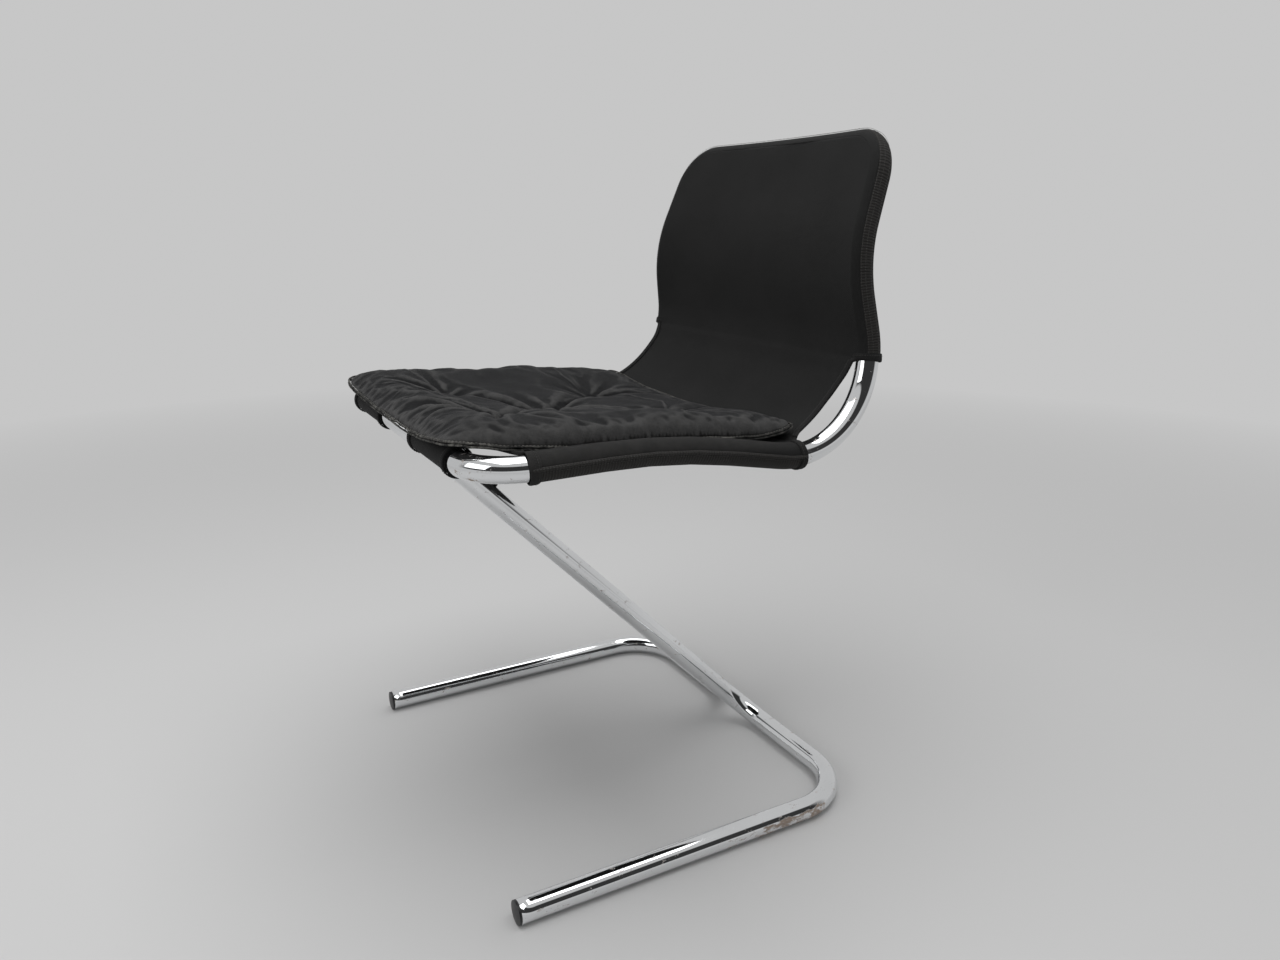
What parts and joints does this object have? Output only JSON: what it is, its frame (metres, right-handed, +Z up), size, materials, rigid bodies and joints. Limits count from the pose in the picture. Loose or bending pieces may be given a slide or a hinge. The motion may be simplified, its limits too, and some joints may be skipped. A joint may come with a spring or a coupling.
{
  "type": "cantilever chair",
  "caption": "Cantilever side chair: bent tube frame with open runners and one slanted support, cloth sling seat and back, tufted seat pad.",
  "frame": {"origin": "on the floor, under the middle of the whole chair", "axes": "+Z up, -Y towards the front of the seat, +X towards the sitter's left"},
  "size_m": [0.513, 0.5345, 0.7697],
  "materials": {
    "chromed_tube": "bright chrome plate with scratches and small rust marks",
    "bare_steel": "plain steel",
    "black_plug": "moulded black",
    "sling_canvas": "dense black canvas",
    "ribbed_canvas": "black canvas with fine ribs",
    "black_webbing": "woven tape",
    "pad_cloth": "worn, dusty black cotton",
    "pad_wadding": "loose wadding",
    "tuft_thread": "waxed thread"
  },
  "bodies": {
    "root": {"left_frame_tube": "chromed_tube", "right_frame_tube": "chromed_tube", "left_end_plug": "black_plug", "right_end_plug": "black_plug", "top_joint_spigot": "bare_steel", "upper_weld_beads": "bare_steel", "lower_weld_beads": "bare_steel", "left_front_sleeve": "sling_canvas", "right_front_sleeve": "sling_canvas", "left_side_sleeve": "ribbed_canvas", "right_side_sleeve": "ribbed_canvas", "left_back_sleeve": "sling_canvas", "right_back_sleeve": "sling_canvas", "top_back_sleeve": "sling_canvas", "left_sleeve_welt": "sling_canvas", "right_sleeve_welt": "sling_canvas", "seat_panel": "sling_canvas", "rear_curve_panel": "sling_canvas", "back_front_panel": "sling_canvas", "back_rear_panel": "sling_canvas", "left_rear_edge_hem": "sling_canvas", "right_rear_edge_hem": "sling_canvas", "left_corner_hem": "sling_canvas", "right_corner_hem": "sling_canvas", "left_corner_tab": "black_webbing", "right_corner_tab": "black_webbing", "pad_top_cover": "pad_cloth", "pad_filling": "pad_wadding", "pad_bottom_cover": "pad_cloth", "pad_edge_binding": "pad_cloth", "tuft_threads": "tuft_thread"}
  },
  "joints": []
}
